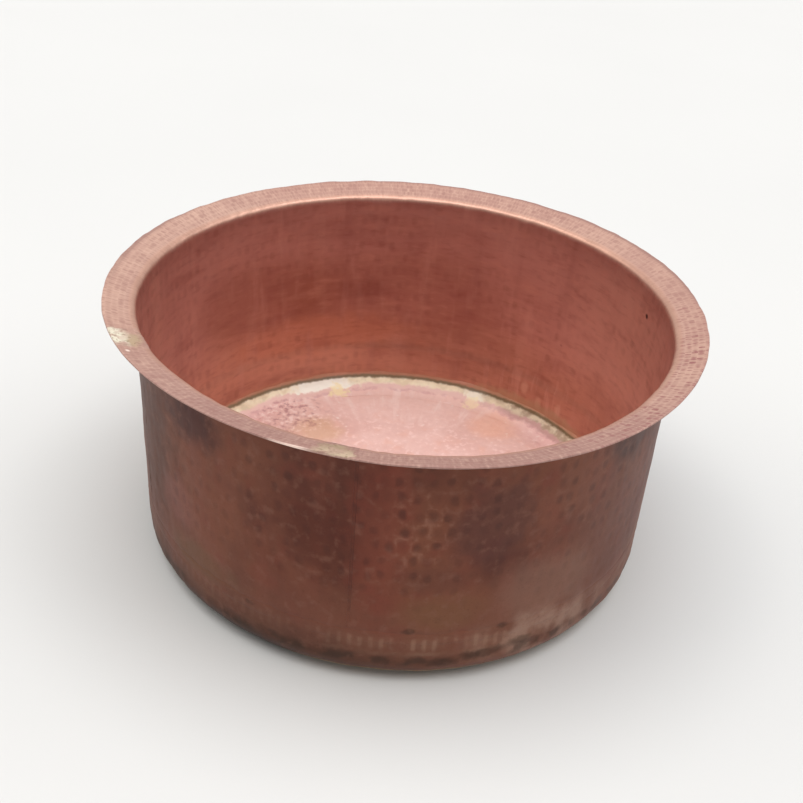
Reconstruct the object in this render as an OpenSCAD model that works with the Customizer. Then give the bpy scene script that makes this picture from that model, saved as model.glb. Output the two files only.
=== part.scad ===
// Hammered copper cooking vessel: a wide, straight-walled open pot with a turned-out rim.
// Two copper sheets lap end to end to make the wall, and their top edges are turned out as the rim.
// A dished copper pan closes the bottom; its upturned skirt laps outside the wall's lower edge.
// Brass spelter joins the laps. Millimetres, +Z up, origin at the centre of the base's underside.

/* [Body] */
// Height from the underside of the base to the rim's highest edge
overall_h = 206; // [180:1:240]
// Outside diameter of the wall just under the rim
wall_d = 406; // [380:1:430]
// How much smaller the wall's radius is above the base lap than under the rim
wall_draw = 1.4; // [0.6:0.2:3]
// Thickness of the copper sheet
sheet_t = 1.6; // [1.4:0.1:1.8]

/* [Rim] */
// Radial width of the rim, from the outside of the wall to the rim's outer edge
rim_w = 22; // [18:0.5:28]
// Upward slope of the rim towards its outer edge, in degrees
rim_rise = 18; // [8:1:24]
// Radius of the bend on the rim's underside
rim_bend_r = 2; // [1.5:0.5:4]

/* [Base] */
// Outside radius of the corner between the base and the wall
corner_r = 23.5; // [20:0.5:28]
// Height of the pan's skirt above the corner, where it laps the wall
base_lap_h = 18.5; // [14:0.5:24]
// Height over which the wall steps in to sit inside the skirt
joggle_h = 3; // [2.5:0.5:5]

/* [Brazed seams] */
// Direction of the middle of the front wall seam, in degrees from +X
front_seam_az = -99.4; // [-104:0.2:-94]
// Direction of the middle of the left wall seam, in degrees from +X
left_seam_az = -153.3; // [-160:0.2:-148]
// Width of a wall seam's lap, measured around the wall
seam_lap_w = 21; // [16:1:26]
// Thickness of spelter between lapped sheets
film_t = 0.3; // [0.2:0.05:0.4]
// Width of the bare spelter line at the end of a lapped sheet
line_w = 2.2; // [1.5:0.1:3]
// Depth of the spelter patch let into the top of the rim over a lap
patch_t = 0.3; // [0.2:0.05:0.35]
// How far the inside spelter ring reaches onto the flat floor from the start of the corner
ring_on_floor = 1.6; // [1:0.2:6]
// How far the inside spelter ring reaches up the wall above the tip of its scarfed foot
ring_on_wall = 0.3; // [0.2:0.1:1.5]

/* [Hidden] */

// Steps along the arcs of the profiles
arc_steps = 12;
// Thickness that the inside ring keeps at its feathered edge on the floor
feather_t = 0.2;
$fn = 180;

// Radii and heights of the wall, from its inner face outwards
wall_r = wall_d / 2;
low_r = wall_r - wall_draw;
foot_out_r = low_r - sheet_t - film_t;
foot_in_r = foot_out_r - sheet_t;
skirt_top = corner_r + base_lap_h;
joggle_top = skirt_top + joggle_h;

// Rim: the bend's centre lies outside the wall, and the sheet's edge is cut square to the slope
bend_cr = wall_r + rim_bend_r;
rim_r = wall_r + rim_w;
edge_top_r = rim_r - sheet_t * sin(rim_rise);
bend_top_r = rim_bend_r + sheet_t;
bend_end_r = bend_cr - bend_top_r * sin(rim_rise);
bend_cz = overall_h - bend_top_r * cos(rim_rise) - (edge_top_r - bend_end_r) * tan(rim_rise);

// Base corner: its centre, and the curve that the wall's foot is scarfed to
corner_cr = low_r - corner_r;
scarf_r = corner_r - sheet_t - film_t;

// Seams: the long sheet is the inner layer of each lap, the short sheet the outer layer
half_lap = seam_lap_w / 2 / wall_r * 180 / PI;
line_deg = line_w / wall_r * 180 / PI;
// How far a rim patch reaches past its lap at each end, in degrees
patch_over = 0.5;
// How far the room cut for a rim patch reaches beyond the sheet's top face and edge
cut_over = 1;
inner_layer = [0, (sheet_t - film_t) / 2];
film_layer = [(sheet_t - film_t) / 2, (sheet_t + film_t) / 2];
outer_layer = [(sheet_t + film_t) / 2, sheet_t];

// Points along an arc about (cr, cz), from one angle to another
function arc(cr, cz, r, from, to) = [
    for (i = [0:arc_steps])
        let (a = from + (to - from) * i / arc_steps)
            [cr + r * cos(a), cz + r * sin(a)]
];

function reversed(points) = [for (i = [len(points) - 1:-1:0]) points[i]];

// Angle on the scarf curve at which it reaches a depth d into the sheet from its inner face
function scarf_angle(d) = -acos(min(1, (foot_in_r + d - corner_cr) / scarf_r));

// One face of the wall and rim, at depth d from the inner face, from the joggle up to the rim's edge
function sheet_face(d) = concat(
    [
        [foot_in_r + d, skirt_top],
        [low_r - sheet_t + d, joggle_top],
        [wall_r - sheet_t + d, bend_cz]
    ],
    arc(bend_cr, bend_cz, bend_top_r - d, 180, 90 + rim_rise),
    [[edge_top_r + d * sin(rim_rise), overall_h - d * cos(rim_rise)]]
);

// Section of the wall and rim between two depths, with its foot scarfed to the base corner
module sheet_section(layer) {
    polygon(concat(
        arc(corner_cr, corner_r, scarf_r, scarf_angle(layer[1]), scarf_angle(layer[0])),
        sheet_face(layer[0]),
        reversed(sheet_face(layer[1]))
    ));
}

// Section of the rim's flat part: over above its top face, patch_t below it, and over past its edge
module rim_top_section(over) {
    down = [sin(rim_rise), -cos(rim_rise)];
    out = [cos(rim_rise), sin(rim_rise)];
    inner_end = [bend_end_r, bend_cz + bend_top_r * cos(rim_rise)];
    outer_end = [edge_top_r, overall_h] + over * out;
    polygon([
        inner_end - over * down,
        outer_end - over * down,
        outer_end + patch_t * down,
        inner_end + patch_t * down
    ]);
}

// Turns its child section about Z from one direction to another, in degrees
module turned(from, to) {
    rotate([0, 0, from]) rotate_extrude(angle = to - from) children();
}

// A seam's spelter patch on the top of the rim, or the room cut for it when over is more than 0
module rim_patch(mid_az, over = 0) {
    turned(mid_az - half_lap - patch_over, mid_az + half_lap + patch_over) rim_top_section(over);
}

module long_wall_sheet() {
    color([0.55, 0.29, 0.23])
    difference() {
        union() {
            turned(front_seam_az - half_lap + line_deg, left_seam_az + 360 + half_lap - line_deg)
                sheet_section(inner_layer);
            turned(front_seam_az + half_lap, left_seam_az + 360 - half_lap)
                sheet_section([inner_layer[1], sheet_t]);
        }
        rim_patch(front_seam_az, cut_over);
        rim_patch(left_seam_az, cut_over);
    }
}

module short_wall_sheet() {
    color([0.52, 0.27, 0.21])
    difference() {
        union() {
            turned(left_seam_az - half_lap + line_deg, front_seam_az + half_lap - line_deg)
                sheet_section(outer_layer);
            turned(left_seam_az + half_lap, front_seam_az - half_lap)
                sheet_section([0, outer_layer[0]]);
        }
        rim_patch(front_seam_az, cut_over);
        rim_patch(left_seam_az, cut_over);
    }
}

// Spelter of one wall seam. side is 1 where the long sheet lies past the lap, and -1 where before it.
module seam_braze(mid_az, side) {
    low_az = mid_az - half_lap;
    high_az = mid_az + half_lap;
    inner_line = side > 0 ? [low_az, low_az + line_deg] : [high_az - line_deg, high_az];
    outer_line = side > 0 ? [high_az - line_deg, high_az] : [low_az, low_az + line_deg];
    union() {
        turned(low_az, high_az) sheet_section(film_layer);
        turned(inner_line[0], inner_line[1]) sheet_section([0, film_layer[1]]);
        turned(outer_line[0], outer_line[1]) sheet_section([film_layer[0], sheet_t]);
        rim_patch(mid_az);
    }
}

module front_seam_braze() {
    color([0.72, 0.66, 0.45]) seam_braze(front_seam_az, 1);
}

module left_seam_braze() {
    color([0.80, 0.75, 0.56]) seam_braze(left_seam_az, -1);
}

// Dished base with its corner and upturned skirt
module base_pan() {
    color([0.78, 0.50, 0.46])
    rotate_extrude()
    polygon(concat(
        [[0, 0]],
        arc(corner_cr, corner_r, corner_r, -90, 0),
        [[low_r, skirt_top], [low_r - sheet_t, skirt_top]],
        arc(corner_cr, corner_r, corner_r - sheet_t, 0, -90),
        [[0, sheet_t]]
    ));
}

// Spelter of the base: a bead on the skirt's edge, a film through the lap, and the ring in the corner
module base_seam_braze() {
    foot_tip_z = corner_r + scarf_r * sin(scarf_angle(0));
    ring_in = [corner_cr - ring_on_floor, sheet_t + feather_t];
    ring_out = [foot_in_r, foot_tip_z + ring_on_wall];
    run = ring_out[0] - ring_in[0];
    rise = ring_out[1] - ring_in[1];
    face_r = (run * run + rise * rise) / (2 * rise);
    face_end = atan2(rise - face_r, run);
    color([0.80, 0.74, 0.54])
    rotate_extrude()
    polygon(concat(
        [[ring_in[0], sheet_t]],
        arc(corner_cr, corner_r, corner_r - sheet_t, -90, 0),
        [
            [low_r - sheet_t, skirt_top],
            [low_r, skirt_top],
            [low_r, joggle_top],
            [foot_out_r, skirt_top]
        ],
        arc(corner_cr, corner_r, scarf_r, scarf_angle(sheet_t), scarf_angle(0)),
        arc(ring_in[0], ring_in[1] + face_r, face_r, face_end, -90)
    ));
}

long_wall_sheet();
short_wall_sheet();
front_seam_braze();
left_seam_braze();
base_pan();
base_seam_braze();
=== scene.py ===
"""Visual model of a hammered copper vessel with brass-brazed seams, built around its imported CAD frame.

Every piece is a closed mesh turned about Z from a section, with the planishing hammer's dents in it.
Lengths are in metres. Directions round the vessel are in degrees from +X. The camera stands on the -Y side.
"""

import math

import bmesh
import bpy
import numpy as np
from mathutils import Matrix, Vector


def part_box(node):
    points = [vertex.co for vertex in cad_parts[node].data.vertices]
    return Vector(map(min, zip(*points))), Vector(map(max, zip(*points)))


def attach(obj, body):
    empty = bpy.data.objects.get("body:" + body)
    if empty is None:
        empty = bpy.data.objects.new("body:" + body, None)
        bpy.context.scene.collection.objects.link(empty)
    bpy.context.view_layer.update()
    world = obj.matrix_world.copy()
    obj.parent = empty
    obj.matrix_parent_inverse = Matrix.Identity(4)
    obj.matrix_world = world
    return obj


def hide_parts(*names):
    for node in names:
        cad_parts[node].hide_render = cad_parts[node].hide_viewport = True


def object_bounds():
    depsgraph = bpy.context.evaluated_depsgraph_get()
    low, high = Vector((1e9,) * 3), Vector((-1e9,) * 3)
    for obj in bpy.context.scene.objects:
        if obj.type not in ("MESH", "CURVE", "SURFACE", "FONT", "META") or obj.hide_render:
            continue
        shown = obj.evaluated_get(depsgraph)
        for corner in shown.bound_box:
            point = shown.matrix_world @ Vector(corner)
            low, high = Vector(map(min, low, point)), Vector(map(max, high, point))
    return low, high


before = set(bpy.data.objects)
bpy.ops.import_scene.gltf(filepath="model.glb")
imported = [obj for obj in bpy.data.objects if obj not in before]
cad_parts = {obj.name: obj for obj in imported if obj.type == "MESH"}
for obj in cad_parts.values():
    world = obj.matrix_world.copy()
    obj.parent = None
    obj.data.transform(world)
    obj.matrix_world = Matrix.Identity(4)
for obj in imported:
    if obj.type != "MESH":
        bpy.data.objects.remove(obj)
cad_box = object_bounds()

# -------------------- sizes
MM = 0.001
TURN = 2 * math.pi
RIM_R = cad_box[1].x
TOP_Z = cad_box[1].z
LOW_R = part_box("base_pan")[1].x
SKIRT_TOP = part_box("base_pan")[1].z
SHEET_T = 1.6 * MM
FILM_T = 0.3 * MM
RIM_W = 22 * MM
RIM_RISE = math.radians(18)
RIM_BEND_R = 2 * MM
CORNER_R = 23.5 * MM
JOGGLE_H = 3 * MM
FRONT_SEAM = -99.4
LEFT_SEAM = -153.3
SEAM_LAP_W = 21 * MM
SEAM_LINE_W = 2.2 * MM
RING_W = 21.6 * MM
RING_TOP = 15.6 * MM
FRONT_PATCH_W = 30 * MM
LEFT_PATCH_W = 26 * MM

WALL_R = RIM_R - RIM_W
FOOT_OUT_R = LOW_R - SHEET_T - FILM_T
FOOT_IN_R = FOOT_OUT_R - SHEET_T
CORNER_CR = LOW_R - CORNER_R
SCARF_R = CORNER_R - SHEET_T - FILM_T
JOGGLE_TOP = SKIRT_TOP + JOGGLE_H
BEND_CR = WALL_R + RIM_BEND_R
BEND_TOP_R = RIM_BEND_R + SHEET_T
EDGE_TOP_R = RIM_R - SHEET_T * math.sin(RIM_RISE)
BEND_END_R = BEND_CR - BEND_TOP_R * math.sin(RIM_RISE)
BEND_CZ = TOP_Z - BEND_TOP_R * math.cos(RIM_RISE) - (EDGE_TOP_R - BEND_END_R) * math.tan(RIM_RISE)
HALF_LAP = math.degrees(SEAM_LAP_W / 2 / WALL_R)
SEAM_LINE = math.degrees(SEAM_LINE_W / WALL_R)
LAYER_T = (SHEET_T - FILM_T) / 2

# Mesh spacing around the vessel and along its section, columns across a wall seam and a rim patch, radius
# left open at the axis until a piece is closed there, and the angle from which an edge is shaded sharp
STEP_AROUND = 2.2 * MM
STEP_ALONG = 2.4 * MM
STEP_FINE = STEP_ALONG / 1.6
SEAM_COLUMNS = 17
PATCH_COLUMNS = 57
AXIS_GAP = 2 * MM
SHARP_ANGLE = math.radians(42)

# Thickness of the inside ring's edge on the floor, how far the sheet's two faces close in at the rim's edge,
# and how deep a rim patch's hidden underside lies
FEATHER_T = 0.2 * MM
EDGE_ROUND = 0.35 * MM
PATCH_SINK = 0.7 * MM

# Hammer marks: how many stand side by side around the vessel, the height of a row, and a mark's depth
MARKS_AROUND = 131
MARK_H = 13.0 * MM
MARK_DEPTH = 0.26 * MM
MARKS_PER_DEGREE = MARKS_AROUND / 360

# Tooth-like marks along the top of the pan's skirt: how many stand around the vessel, and their height
TEETH_AROUND = 172
TEETH_H = 7 * MM

# Dark spots low on the outside: direction in degrees, and height, half width and half height in millimetres
SKIRT_SPOTS = [
    (-78, 21, 14, 5),
    (-69, 26, 17, 5),
    (-61, 29, 12, 4),
    (-85, 51, 5, 3),
    (-66, 49, 5, 3),
    (-118, 45, 4, 3)
]

# Smooth step that the visible wall makes over the pan's skirt, and the top of the spelter bead there
STEP_LOW = SKIRT_TOP - 1 * MM
STEP_HIGH = JOGGLE_TOP + 5 * MM
BEAD_TOP = STEP_HIGH + 0.5 * MM


# -------------------- arithmetic shared by meshes and materials
class Wire:
    """One number in a material's node tree. Arithmetic on it adds Math nodes."""

    def __init__(self, tree, socket):
        self.tree = tree
        self.socket = socket

    def math(self, operation, *others):
        node = self.tree.nodes.new("ShaderNodeMath")
        node.operation = operation
        self.tree.links.new(self.socket, node.inputs[0])
        for slot, other in enumerate(others, 1):
            if isinstance(other, Wire):
                self.tree.links.new(other.socket, node.inputs[slot])
            else:
                node.inputs[slot].default_value = other
        return Wire(self.tree, node.outputs[0])

    def __add__(self, other):
        return self.math("ADD", other)

    def __sub__(self, other):
        return self.math("SUBTRACT", other)

    def __mul__(self, other):
        return self.math("MULTIPLY", other)

    def __truediv__(self, other):
        return self.math("DIVIDE", other)

    def __rsub__(self, other):
        return self.math("MULTIPLY_ADD", -1.0, other)

    __radd__ = __add__
    __rmul__ = __mul__


def sine(x):
    return x.math("SINE") if isinstance(x, Wire) else np.sin(x)


def whole(x):
    return x.math("FLOOR") if isinstance(x, Wire) else np.floor(x)


def hammer_mark(u, v):
    """The hammer mark at (u, v): from 0 along its border to 1 in its middle, and its strength."""
    row = whole(v)
    u = u + 0.5 * sine(2.4 * row) + 0.12 * sine(u * (11 * TURN / MARKS_AROUND))
    column = whole(u)
    x = 2 * (u - column) - 1
    y = 2 * (v - row) - 1
    column = column - MARKS_AROUND * whole(column / MARKS_AROUND)
    x = x + 0.32 * sine(1.3 * column + 2.1 * row) * (1 - x * x)
    y = y + 0.30 * sine(2.9 * column + 1.7 * row) * (1 - y * y)
    strength = 0.62 + 0.38 * sine(4.1 * column + 3.3 * row)
    return (1 - x * x) * (1 - y * y), strength


def tooth(u):
    """Distance from the middle of the nearest gap between the skirt's tooth-like marks, in teeth, squared."""
    u = u * (TEETH_AROUND / MARKS_AROUND)
    x = u - whole(u) - 0.5
    return x * x


def waves(points, length, seed, count=14):
    """Smooth random undulation over the points, with about this wavelength and a mean square of 1."""
    draw = np.random.default_rng(seed)
    directions = draw.normal(size=(count, 3))
    directions /= np.linalg.norm(directions, axis=1)[:, None]
    sizes = draw.uniform(0.7, 1.4, count) * 2 * math.pi / length
    phases = draw.uniform(0, 2 * math.pi, count)
    total = sum(np.cos(points @ (d * k) + p) for d, k, p in zip(directions, sizes, phases))
    return total * math.sqrt(2 / count)


def smooth(x, low, high):
    """0 below low, 1 above high, smooth between."""
    t = np.clip((x - low) / (high - low), 0, 1)
    return t * t * (3 - 2 * t)


# -------------------- sections
def arc(centre_r, centre_z, radius, start, end, count):
    """Points along an arc in the section plane, from start to end in degrees, without its first point."""
    angles = np.radians(np.linspace(start, end, count + 1)[1:])
    return np.stack([centre_r + radius * np.cos(angles), centre_z + radius * np.sin(angles)], 1)


def line(start, end, step):
    """Points from start to end in the section plane, a step apart, without the first."""
    start, end = np.array(start, float), np.array(end, float)
    count = max(1, round(float(np.linalg.norm(end - start)) / step))
    return start + (end - start) * (np.arange(1, count + 1) / count)[:, None]


def normals_of(path):
    """Unit normals of an open path in the section plane, to the left of its direction."""
    along = np.gradient(path, axis=0)
    along /= np.linalg.norm(along, axis=1)[:, None]
    return np.stack([-along[:, 1], along[:, 0]], 1)


def wall_inner_r(z):
    """Radius of the wall's inner face at a height below the rim's bend."""
    foot = FOOT_IN_R
    low = LOW_R - SHEET_T
    high = WALL_R - SHEET_T
    taper = low + (high - low) * np.clip((z - STEP_HIGH) / (BEND_CZ - STEP_HIGH), 0, 1)
    return foot + (taper - foot) * smooth(z, STEP_LOW, STEP_HIGH)


def sheet_path():
    """The wall's and rim's inner face, from the foot up to the rim's edge."""
    foot_angle = -math.acos((FOOT_IN_R - CORNER_CR) / SCARF_R)
    foot_z = CORNER_R + SCARF_R * math.sin(foot_angle)
    heights = np.linspace(foot_z, BEND_CZ, round((BEND_CZ - foot_z) / STEP_ALONG) + 1)
    wall = np.stack([wall_inner_r(heights), heights], 1)
    slope = np.array([math.cos(RIM_RISE), math.sin(RIM_RISE)])
    bend_end = (BEND_END_R, BEND_CZ + BEND_TOP_R * math.cos(RIM_RISE))
    edge = np.array([EDGE_TOP_R, TOP_Z])
    return np.concatenate([
        wall,
        arc(BEND_CR, BEND_CZ, BEND_TOP_R, 180, 90 + math.degrees(RIM_RISE), 6),
        line(bend_end, edge - 0.6 * MM * slope, STEP_FINE),
        [edge],
    ])


# -------------------- hand-beaten irregularity
def out_of_round(degrees, height):
    """How far the hand-beaten vessel strays outward and upward at a direction and height."""
    a = np.radians(degrees)
    up = np.clip(height / TOP_Z, 0, 1.1) ** 1.5
    outward = up * MM * (1.75 * np.cos(3 * a - 2.70) + 1.12 * np.cos(4 * a - 0.91))
    upward = up ** 2 * MM * (0.69 * np.cos(2 * a + 2.35) + 0.47 * np.cos(3 * a - 2.02))
    return outward, upward


def spread(path, around):
    """Radius and height of a path's points for every direction in a column."""
    return path[None, :, 0] + 0 * around, path[None, :, 1] + 0 * around


def place(degrees, r, z):
    """Points in space for directions, radii and heights, with the vessel's irregularity added."""
    outward, upward = out_of_round(degrees, z)
    a = np.radians(degrees)
    share = np.clip(r / WALL_R, 0, 1) ** 4
    r = r + outward * share
    z = z + upward * share
    points = np.stack([r * np.cos(a), r * np.sin(a), z + 0 * r], -1)
    at_edge = smooth(r, WALL_R, RIM_R)
    frayed = at_edge * MM * (0.16 * waves(points, 34 * MM, 1) + 0.06 * waves(points, 12 * MM, 2))
    points[..., 2] += frayed
    points[..., :2] *= (1 + 0.8 * frayed / WALL_R)[..., None]
    return points


def turned_mesh(name, loop, degrees, closed, materials):
    """A closed mesh from a loop of section points for every direction.

    loop(degrees) returns r and z arrays of shape (directions, points), and slot numbers for the points.
    closed turns it right round; otherwise both ends are capped with strips between mirrored points.
    """
    r, z, slots, v_marks = loop(degrees)
    columns, rows = r.shape
    points = place(degrees[:, None] * np.ones((1, rows)), r, z)
    index = np.arange(columns * rows).reshape(columns, rows)
    this = index if closed else index[:-1]
    following = np.roll(index, -1, axis=0) if closed else index[1:]
    right = np.roll(this, -1, axis=1)
    right_following = np.roll(following, -1, axis=1)
    faces = np.stack([this, following, right_following, right], -1).reshape(-1, 4)
    face_slots = np.tile(slots, this.shape[0])
    caps = []
    if not closed:
        half = rows // 2
        for column, turn in ((0, 1), (columns - 1, -1)):
            near = index[column, :half]
            far = index[column, ::-1][:half]
            strip = np.stack([near[:-1], near[1:], far[1:], far[:-1]], -1)[:, ::turn]
            caps.append(strip)
    cap_faces = np.concatenate(caps) if caps else np.zeros((0, 4), int)
    every_face = np.concatenate([faces, cap_faces])
    mesh = bpy.data.meshes.new(name)
    mesh.from_pydata(points.reshape(-1, 3).tolist(), [], every_face.tolist())
    for material in materials:
        mesh.materials.append(material)
    slot_numbers = np.concatenate([face_slots, np.full(len(cap_faces), slots[0])]).astype(np.int32)
    mesh.polygons.foreach_set("material_index", slot_numbers)
    mesh.polygons.foreach_set("use_smooth", np.ones(len(every_face), bool))
    write_marks(mesh, degrees, v_marks, columns, rows, closed, len(cap_faces))
    mesh.set_sharp_from_angle(angle=SHARP_ANGLE)
    mesh.validate()
    mesh.update()
    piece = bpy.data.objects.new(name, mesh)
    bpy.context.scene.collection.objects.link(piece)
    return piece


def write_marks(mesh, degrees, v_marks, columns, rows, closed, caps):
    """Stores each corner's place among the hammer marks as the UV map Marks, with no seam round the turn."""
    u = degrees * MARKS_PER_DEGREE
    step = u[1] - u[0]
    count = columns if closed else columns - 1
    first = u[:count]
    second = first + step if closed else u[1:]
    v_next = np.roll(v_marks, -1)
    corner_u = np.stack([first, second, second, first], -1)[:, None, :] * np.ones((1, rows, 1))
    corner_v = np.stack([v_marks, v_marks, v_next, v_next], -1)[None] * np.ones((count, 1, 1))
    uv = np.stack([corner_u, corner_v], -1).reshape(-1, 2)
    uv = np.concatenate([uv, np.zeros((caps * 4, 2))]).astype(np.float32)
    layer = mesh.uv_layers.new(name="Marks")
    layer.data.foreach_set("uv", uv.ravel())


# -------------------- surfaces in relief
def wall_relief(degrees, r, z, v):
    """Inward and outward swell of the wall's outer face: hammer marks, rows and slow waves."""
    points = place(degrees, r, z)
    middle, strength = hammer_mark(degrees * MARKS_PER_DEGREE, v)
    dent = middle ** 1.5 * strength
    swell = 0.14 * MM * waves(points, 45 * MM, 11)
    return -MARK_DEPTH * dent + swell + 0.05 * MM * waves(points, 16 * MM, 12)


def inner_relief(degrees, r, z):
    """Swell of the wall's inner face: shallower marks, stretched around the vessel."""
    points = place(degrees, r, z)
    stretched = points * np.array([1, 1, 2.6])
    return 0.14 * MM * waves(points, 45 * MM, 11) + 0.07 * MM * waves(stretched, 22 * MM, 21)


def rim_relief(degrees, r, z):
    """Swell of the rim's top face."""
    points = place(degrees, r, z)
    return 0.16 * MM * waves(points, 34 * MM, 31) + 0.07 * MM * waves(points, 11 * MM, 32)


class SheetSection:
    """The wall's and rim's section, and the faces of the beaten sheet at any depth below its inner face."""

    def __init__(self):
        self.path = sheet_path()
        self.normal = normals_of(self.path)
        steps = np.linalg.norm(np.diff(self.path, axis=0), axis=1)
        self.v = np.concatenate([[0], np.cumsum(steps)]) / MARK_H
        height = self.path[:, 1]
        self.on_rim = smooth(height, BEND_CZ - 2 * MM, BEND_CZ + 3 * MM)
        self.bare = smooth(height, SKIRT_TOP - 1 * MM, STEP_HIGH)
        self.edge = np.zeros(len(self.path))
        self.edge[-1] = EDGE_ROUND

    def grid(self, degrees):
        """Direction, radius and height of every section point for every direction."""
        around = degrees[:, None] + 0 * self.path[:, 0]
        return around, self.path[:, 0] + 0 * around, self.path[:, 1] + 0 * around

    def face(self, degrees, depth):
        """Shift along the normals from the section's path to the face at this depth."""
        around, r, z = self.grid(degrees)
        inner = inner_relief(around, r, z) * (1 - self.on_rim) + rim_relief(around, r, z) * self.on_rim
        outer = wall_relief(around, r, z, self.v) * (1 - 0.8 * self.on_rim) * self.bare
        share = np.broadcast_to(depth, around.shape) / SHEET_T
        return inner * (1 - share) - outer * share - depth + self.edge * (2 * share - 1)

    def loop(self, degrees, upper_depth, lower_depth, slots):
        """The closed section loop between two depths, with a material slot for each face."""
        around, r, z = self.grid(degrees)
        upper = shifted(r, z, self.normal, self.face(degrees, upper_depth))
        lower = shifted(r, z, self.normal, self.face(degrees, lower_depth))
        r_loop, z_loop = out_and_back(upper, lower)
        return r_loop, z_loop, np.repeat(slots, len(self.path)), np.concatenate([self.v, self.v[::-1]])


def bend_span():
    """Where the rim's bend starts and ends, counted in marks along the sheet's section."""
    section = SheetSection()
    past_wall = section.path[:, 1] > BEND_CZ - 0.01 * MM
    before_rim = section.path[:, 0] < BEND_END_R + 0.01 * MM
    bend = section.v[past_wall & before_rim]
    return bend[0], bend[-1]


def shifted(r, z, normal, shift):
    """Section points moved along their normals."""
    return r + normal[:, 0] * shift, z + normal[:, 1] * shift


def out_and_back(out, back):
    """A closed loop of section points: out along one face and back along the other."""
    return [np.concatenate([a, b[:, ::-1]], 1) for a, b in zip(out, back)]


def steps_between(start, end):
    """Directions from start to end, evenly spaced, both included."""
    count = round(math.radians(end - start) * WALL_R / STEP_AROUND)
    return np.linspace(start, end, count + 1)


def with_steps(degrees, *places):
    """The directions with a pair of close ones at each place where the sheet's thickness steps."""
    extra = [p + side for p in places for side in (-0.01, 0.01)]
    return np.unique(np.concatenate([degrees, extra]))


def build_sheet(name, first, last, layer, materials):
    """A wall sheet between the middles of two seams. In their laps it lies between the depths of layer."""
    section = SheetSection()
    full = (first + HALF_LAP, last - HALF_LAP)

    def loop(degrees):
        around = degrees[:, None]
        is_full = (around > full[0]) & (around < full[1])
        upper, lower = np.where(is_full, 0, layer[0]), np.where(is_full, SHEET_T, layer[1])
        return section.loop(degrees, upper, lower, [0, 1])

    degrees = steps_between(first - HALF_LAP + SEAM_LINE, last + HALF_LAP - SEAM_LINE)
    return turned_mesh(name, loop, with_steps(degrees, *full), False, materials)


def build_long_sheet(materials):
    """The long wall sheet. It is the inner layer in both laps."""
    return build_sheet("long_wall_copper", FRONT_SEAM, LEFT_SEAM + 360, (0, LAYER_T), materials)


def build_short_sheet(materials):
    """The short wall sheet. It is the outer layer in both laps."""
    return build_sheet("short_wall_copper", LEFT_SEAM, FRONT_SEAM, (SHEET_T - LAYER_T, SHEET_T), materials)


# -------------------- base pan
def floor_relief(points):
    """Swell of the pan's inside, with pits that crowd in one zone near the spelter ring."""
    zone = np.array([-104, 129, 0]) * MM
    reach = np.array([30, 17, 20]) * MM
    crowd = np.exp(-np.linalg.norm((points - zone) / reach, axis=-1) ** 2)
    pits = np.clip(waves(points, 6 * MM, 43, 24) - 0.5, 0, 1.5)
    swell = 0.22 * waves(points, 55 * MM, 41) + 0.10 * waves(points, 17 * MM, 42)
    return MM * (swell - 0.35 * pits * (0.1 + crowd))


def skirt_relief(degrees, r, z, v):
    """Swell of the pan's outside: hammer marks on the corner, and tooth-like marks along the skirt's top."""
    middle, strength = hammer_mark(degrees * MARKS_PER_DEGREE, v)
    dent = middle ** 1.5 * strength
    gap = np.clip(1 - tooth(degrees * MARKS_PER_DEGREE) / 0.07, 0, 1)
    in_teeth = smooth(z, SKIRT_TOP - 1.4 * TEETH_H, SKIRT_TOP - 0.8 * TEETH_H)
    in_teeth = in_teeth * smooth(z, SKIRT_TOP - 0.5 * MM, SKIRT_TOP - 2.5 * MM)
    standing = smooth(z, 0.3 * MM, 6 * MM)
    at_edge = smooth(z, SKIRT_TOP - 1.6 * MM, SKIRT_TOP)
    points = place(degrees, r, z)
    marks = MARK_DEPTH * (dent * (1 - in_teeth) + 1.1 * gap * in_teeth)
    swell = 0.12 * waves(points, 18 * MM, 51) + 0.10 * waves(points, 45 * MM, 52)
    return (swell * MM * (1 - at_edge) - marks) * standing - 0.1 * MM * at_edge


def build_pan(materials):
    """The dished base with its corner and skirt."""
    inside = np.concatenate([
        [[AXIS_GAP, SHEET_T]],
        line((AXIS_GAP, SHEET_T), (CORNER_CR, SHEET_T), 3 * MM),
        arc(CORNER_CR, CORNER_R, CORNER_R - SHEET_T, -90, 0, 8),
        line((LOW_R - SHEET_T, CORNER_R), (LOW_R - SHEET_T, SKIRT_TOP), 4 * MM),
    ])
    outside = np.concatenate([
        [[AXIS_GAP, 0]],
        line((AXIS_GAP, 0), (CORNER_CR, 0), 5 * MM),
        arc(CORNER_CR, CORNER_R, CORNER_R, -90, 0, 18),
        line((LOW_R, CORNER_R), (LOW_R, SKIRT_TOP), STEP_FINE),
    ])
    inner_normal = normals_of(inside)
    outer_normal = -normals_of(outside)
    distance = np.concatenate([[0], np.cumsum(np.linalg.norm(np.diff(outside, axis=0), axis=1))])
    v = (distance - distance[-1]) / MARK_H + 3
    free = smooth(inside[:, 0], CORNER_CR + 5 * MM, CORNER_CR - 8 * MM)

    def loop(degrees):
        around = degrees[:, None]
        r, z = spread(inside, around)
        inner = shifted(r, z, inner_normal, floor_relief(place(around, r, z)) * free)
        r, z = spread(outside, around)
        outer = shifted(r, z, outer_normal, skirt_relief(around, r, z, v))
        r_loop, z_loop = out_and_back(outer, inner)
        slots = np.concatenate([np.ones(len(outside)), np.zeros(len(inside))])
        return r_loop, z_loop, slots, np.concatenate([v, np.full(len(inside), v[-1])])

    around = np.linspace(90, 450, round(TURN * WALL_R / (1.15 * STEP_AROUND)), endpoint=False)
    pan = turned_mesh("base_pan_copper", loop, around, True, materials)
    close_middle(pan.data)
    return pan


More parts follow.
